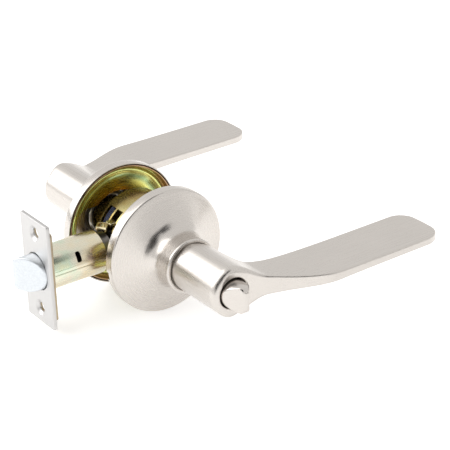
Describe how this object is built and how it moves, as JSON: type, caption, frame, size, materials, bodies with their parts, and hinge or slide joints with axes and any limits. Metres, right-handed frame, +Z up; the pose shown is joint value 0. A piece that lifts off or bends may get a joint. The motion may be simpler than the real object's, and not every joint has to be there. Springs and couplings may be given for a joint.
{
  "type": "door lever lockset",
  "caption": "Privacy lever lockset: paddle levers on bell roses either side of a door, spindles and retractor in a round chassis, thumb-turn, and a tubular spring latch.",
  "frame": {"origin": "where the spindle axis crosses the latch axis, in the middle of the door's thickness", "axes": "-X towards the latch bolt and door edge, +X towards the lever tips, -Y interior side, +Y exterior side, +Z up"},
  "size_m": [0.1917, 0.1958, 0.0662],
  "materials": {
    "satin_nickel": "satin nickel plate, fine brushed grain",
    "bolt_zinc": "pale sintered zinc, satin",
    "clear_zinc": "clear zinc plate, slightly iridescent",
    "yellow_zinc": "yellow zinc dichromate, iridescent",
    "black_spring": "oil-blackened spring steel",
    "dark_steel": "dark oiled steel",
    "brass": "plain brass",
    "nylon": "natural nylon"
  },
  "bodies": {
    "lockset": {"interior_rose": "satin_nickel", "exterior_rose": "satin_nickel", "interior_liner": "yellow_zinc", "exterior_liner": "yellow_zinc", "interior_liner_screws": "clear_zinc", "exterior_liner_screws": "clear_zinc", "interior_screw_posts": "clear_zinc", "exterior_screw_posts": "clear_zinc", "interior_neck_bushing": "nylon", "exterior_neck_bushing": "nylon", "interior_hub": "yellow_zinc", "exterior_hub": "yellow_zinc", "interior_spring": "black_spring", "exterior_spring": "black_spring", "interior_spring_plate": "yellow_zinc", "exterior_spring_plate": "yellow_zinc", "interior_housing_plate": "yellow_zinc", "exterior_housing_plate": "yellow_zinc", "chassis_shield": "yellow_zinc", "retractor_guides": "dark_steel", "retractor_springs": "black_spring", "spring_abutment": "yellow_zinc", "latch_bracket": "yellow_zinc", "bracket_rivet": "clear_zinc", "faceplate": "satin_nickel", "back_plate": "yellow_zinc", "latch_tube": "clear_zinc", "bolt_guide": "nylon", "bolt_spring": "dark_steel", "spring_seat": "clear_zinc", "tail_guide": "dark_steel"},
    "interior_lever": {"interior_lever": "satin_nickel", "interior_spindle": "clear_zinc", "interior_cam": "dark_steel", "interior_drive_pin": "clear_zinc", "interior_thrust_washer": "brass", "interior_retaining_ring": "dark_steel", "interior_set_screw": "dark_steel", "turn_bushing": "nylon"},
    "exterior_lever": {"exterior_lever": "satin_nickel", "exterior_spindle": "clear_zinc", "exterior_cam": "dark_steel", "exterior_drive_pin": "clear_zinc", "exterior_thrust_washer": "brass", "exterior_retaining_ring": "dark_steel", "exterior_set_screw": "dark_steel", "release_bushing": "nylon", "release_plug": "satin_nickel"},
    "retractor": {"retractor": "dark_steel"},
    "latch_bolt": {"latch_bolt": "bolt_zinc", "bolt_tail": "clear_zinc"},
    "privacy_turn": {"thumb_turn": "satin_nickel", "turn_rod": "clear_zinc", "lock_cam": "dark_steel"},
    "lock_plunger": {"lock_plunger": "clear_zinc"}
  },
  "joints": [
    {"name": "interior_lever_turn", "type": "hinge", "parent": "lockset", "child": "interior_lever", "pos_m": [0, -0.05, 0], "axis": [0, 1, 0], "range_deg": [0, 50], "stiffness_Nm_per_rad": 0.8, "springref_deg": -22.92},
    {"name": "exterior_lever_turn", "type": "hinge", "parent": "lockset", "child": "exterior_lever", "pos_m": [0, 0.05, 0], "axis": [0, 1, 0], "range_deg": [0, 50], "stiffness_Nm_per_rad": 0.8, "springref_deg": -22.92},
    {"name": "retractor_slide", "type": "slide", "parent": "lockset", "child": "retractor", "axis": [1, 0, 0], "range_m": [0, 0.0108], "stiffness_N_per_m": 150, "springref_m": -0.02, "deforming": ["retractor_springs"]},
    {"name": "latch_bolt_slide", "type": "slide", "parent": "lockset", "child": "latch_bolt", "axis": [1, 0, 0], "range_m": [0, 0.0108], "stiffness_N_per_m": 150, "springref_m": -0.02, "deforming": ["bolt_spring"]},
    {"name": "privacy_turn", "type": "hinge", "parent": "interior_lever", "child": "privacy_turn", "pos_m": [0, -0.075, 0], "axis": [0, 1, 0], "range_deg": [-90, 0]},
    {"name": "lock_plunger_slide", "type": "slide", "parent": "interior_lever", "child": "lock_plunger", "axis": [0, 0, 1], "range_m": [0, 0.0016]}
  ],
  "couplings": [
    {"joint": "exterior_lever_turn", "follows": "interior_lever_turn", "ratio": 1},
    {"joint": "retractor_slide", "follows": "interior_lever_turn", "m_per_rad": 0.012375},
    {"joint": "latch_bolt_slide", "follows": "interior_lever_turn", "m_per_rad": 0.012375},
    {"joint": "privacy_turn", "follows": "lock_plunger_slide", "rad_per_m": -981.7}
  ]
}
